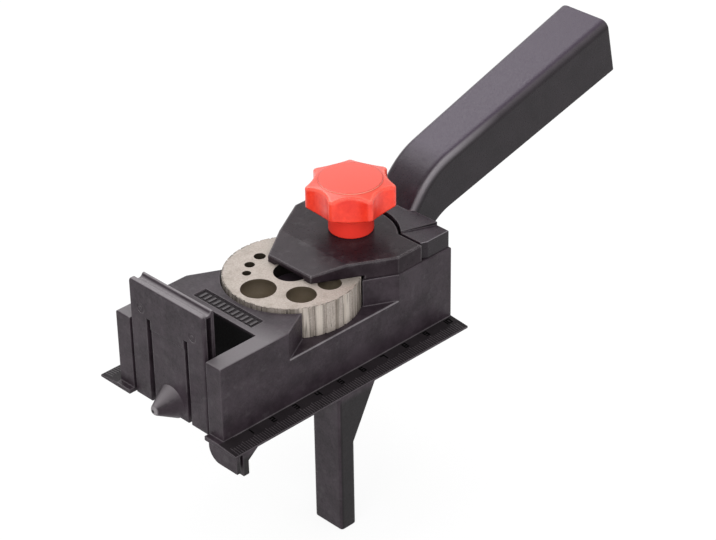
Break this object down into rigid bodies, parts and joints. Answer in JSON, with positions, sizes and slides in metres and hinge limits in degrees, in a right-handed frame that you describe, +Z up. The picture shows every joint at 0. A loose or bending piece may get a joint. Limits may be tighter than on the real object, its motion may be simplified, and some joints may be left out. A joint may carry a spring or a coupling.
{
  "type": "doweling jig",
  "caption": "Hand-held doweling jig with a rotating drum of guide bores, a clamping cover with star knob, a front slide, a fence and an upward handle.",
  "frame": {"origin": "on the underside of the base plate, on the turning axis of the drum", "axes": "+X towards the handle, +Y to the left side, away from the fence, +Z up"},
  "size_m": [0.2098, 0.0662, 0.1273],
  "materials": {
    "dark_plastic": "fine moulded grain",
    "red_plastic": "gloss",
    "sintered_metal": "matte sintered",
    "steel": "zinc plated",
    "brass": "turned"
  },
  "bodies": {
    "jig": {"jig_body": "dark_plastic", "handle": "dark_plastic", "handle_screws": "steel", "stud_insert": "brass", "lift_spring": "steel"},
    "drum": {"drum": "sintered_metal"},
    "cover": {"cover": "dark_plastic"},
    "knob": {"knob": "red_plastic", "knob_stud": "steel"},
    "front_slide": {"front_slide": "dark_plastic"}
  },
  "joints": [
    {"name": "drum_turn", "type": "hinge", "parent": "jig", "child": "drum", "pos_m": [0, 0, 0.024], "axis": [0, 0, 1], "continuous": true},
    {"name": "cover_lift", "type": "slide", "parent": "jig", "child": "cover", "axis": [0, 0, 1], "range_m": [0, 0.002], "deforming": ["lift_spring"]},
    {"name": "knob_turn", "type": "hinge", "parent": "cover", "child": "knob", "pos_m": [0.0275, 0, 0.035], "axis": [0, 0, 1], "range_deg": [0, 900]},
    {"name": "slide_lift", "type": "slide", "parent": "jig", "child": "front_slide", "axis": [0, 0, 1], "range_m": [0, 0.045]}
  ],
  "couplings": [
    {"joint": "knob_turn", "follows": "cover_lift", "rad_per_m": 7854}
  ]
}
